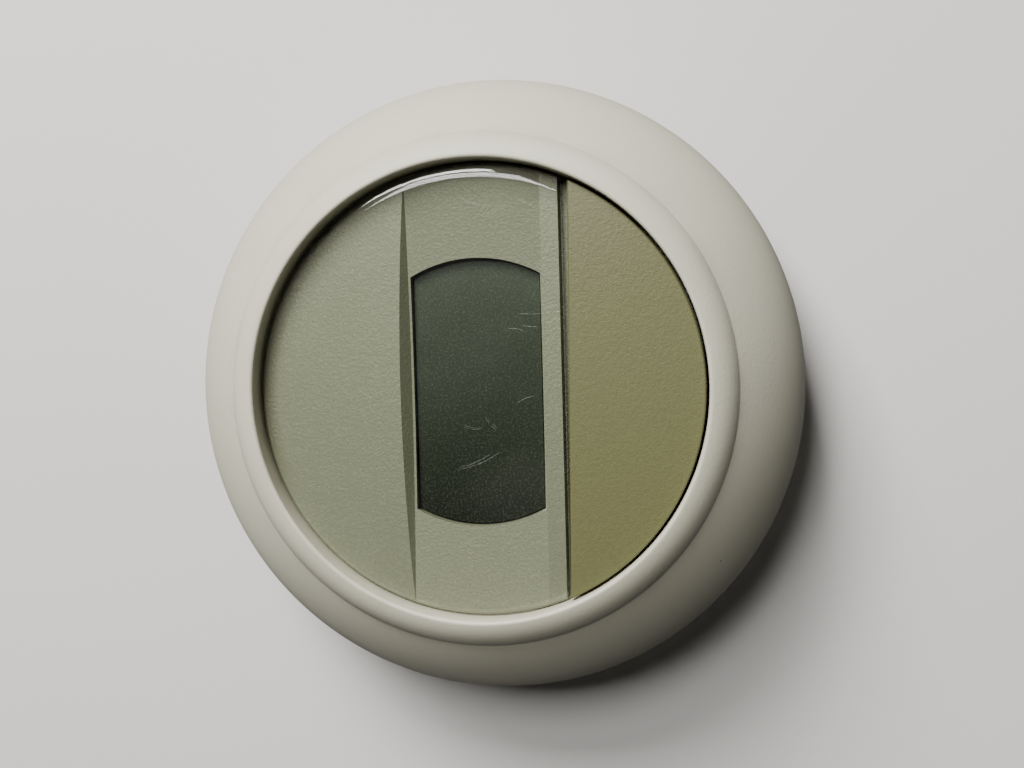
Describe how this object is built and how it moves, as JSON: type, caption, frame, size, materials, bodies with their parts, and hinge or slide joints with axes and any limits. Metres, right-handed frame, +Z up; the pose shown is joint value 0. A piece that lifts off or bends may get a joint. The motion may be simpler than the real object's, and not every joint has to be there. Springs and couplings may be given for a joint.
{
  "type": "wall thermostat",
  "caption": "Round wall thermostat with a turning outer dial, a display behind a clear window, a lift-off segment cover and a snap-off wall plate.",
  "frame": {"origin": "centre of the flat back face, on the wall", "axes": "+Z up, -Y out of the wall through the front, +X to the right of someone facing the thermostat"},
  "size_m": [0.083, 0.029, 0.083],
  "materials": {
    "dial_plastic": "fine satin, warm off-white",
    "white_plastic": "satin off-white",
    "face_plastic": "fine grained grey-green",
    "beige_plastic": "grained, yellowed beige",
    "clear_plastic": "clear, polished, finely scratched",
    "display": "dark grey-green, faintly glittering",
    "milky_plastic": "milky white",
    "strip_rubber": "soft silicone",
    "grey_plastic": "satin grey",
    "dark_plastic": "moulded black",
    "chip_black": "moulded black epoxy",
    "capacitor_sleeve": "dark blue sleeve",
    "sensor_black": "dipped black",
    "board": "green lacquer on glass fibre",
    "gear_plastic": "natural white acetal",
    "brass": "bright, slightly tarnished",
    "steel": "zinc plated"
  },
  "bodies": {
    "wall_plate": {"wall_plate": "white_plastic", "terminal_block": "dark_plastic", "contact_blade_1": "brass", "contact_blade_2": "brass"},
    "clamp_screw_1": {"terminal_screw_1": "steel"},
    "clamp_screw_2": {"terminal_screw_2": "steel"},
    "clamp_cage_1": {"terminal_cage_1": "brass"},
    "clamp_cage_2": {"terminal_cage_2": "brass"},
    "module": {"rear_case": "white_plastic", "front_bezel": "face_plastic", "clear_lens": "clear_plastic", "circuit_board": "board", "encoder_body": "dark_plastic", "contact_pin_1": "brass", "contact_pin_2": "brass", "display_carrier": "white_plastic", "display_glass": "display", "display_rear_glass": "display", "light_guide": "milky_plastic", "upper_contact_strip": "strip_rubber", "lower_contact_strip": "strip_rubber", "microcontroller": "chip_black", "line_interface": "chip_black", "capacitor": "capacitor_sleeve", "temperature_sensor": "sensor_black", "button_switch": "dark_plastic", "case_screw_1": "steel", "case_screw_2": "steel", "case_screw_3": "steel"},
    "dial": {"dial_ring": "dial_plastic", "dial_gear": "gear_plastic", "dial_screw_1": "steel", "dial_screw_2": "steel", "dial_screw_3": "steel"},
    "encoder": {"encoder_pinion": "gear_plastic"},
    "set_button": {"set_button": "grey_plastic"},
    "segment_cover": {"segment_cover": "beige_plastic"}
  },
  "joints": [
    {"name": "module_release", "type": "slide", "parent": "wall_plate", "child": "module", "axis": [0, -1, 0], "range_m": [0, 0.025]},
    {"name": "dial_turn", "type": "hinge", "parent": "module", "child": "dial", "pos_m": [0, -0.018, 0], "axis": [0, -1, 0], "continuous": true},
    {"name": "encoder_turn", "type": "hinge", "parent": "module", "child": "encoder", "pos_m": [0.00995, -0.0165, 0.02402], "axis": [0, -1, 0], "continuous": true},
    {"name": "set_button_press", "type": "slide", "parent": "module", "child": "set_button", "axis": [0, 1, 0], "range_m": [0, 0.0004], "stiffness_N_per_m": 1500, "springref_m": -0.0006},
    {"name": "segment_cover_release", "type": "slide", "parent": "module", "child": "segment_cover", "axis": [0, -1, 0], "range_m": [0, 0.012]},
    {"name": "clamp_screw_1_turn", "type": "hinge", "parent": "wall_plate", "child": "clamp_screw_1", "pos_m": [-0.0056, -0.009, -0.021], "axis": [0, 1, 0], "range_deg": [0, 900]},
    {"name": "clamp_cage_1_rise", "type": "slide", "parent": "wall_plate", "child": "clamp_cage_1", "axis": [0, -1, 0], "range_m": [0, 0.00125]},
    {"name": "clamp_screw_2_turn", "type": "hinge", "parent": "wall_plate", "child": "clamp_screw_2", "pos_m": [0.0056, -0.009, -0.021], "axis": [0, 1, 0], "range_deg": [0, 900]},
    {"name": "clamp_cage_2_rise", "type": "slide", "parent": "wall_plate", "child": "clamp_cage_2", "axis": [0, -1, 0], "range_m": [0, 0.00125]}
  ],
  "couplings": [
    {"joint": "encoder_turn", "follows": "dial_turn", "ratio": 5.3333},
    {"joint": "clamp_screw_1_turn", "follows": "clamp_cage_1_rise", "rad_per_m": 12566},
    {"joint": "clamp_screw_2_turn", "follows": "clamp_cage_2_rise", "rad_per_m": 12566}
  ]
}
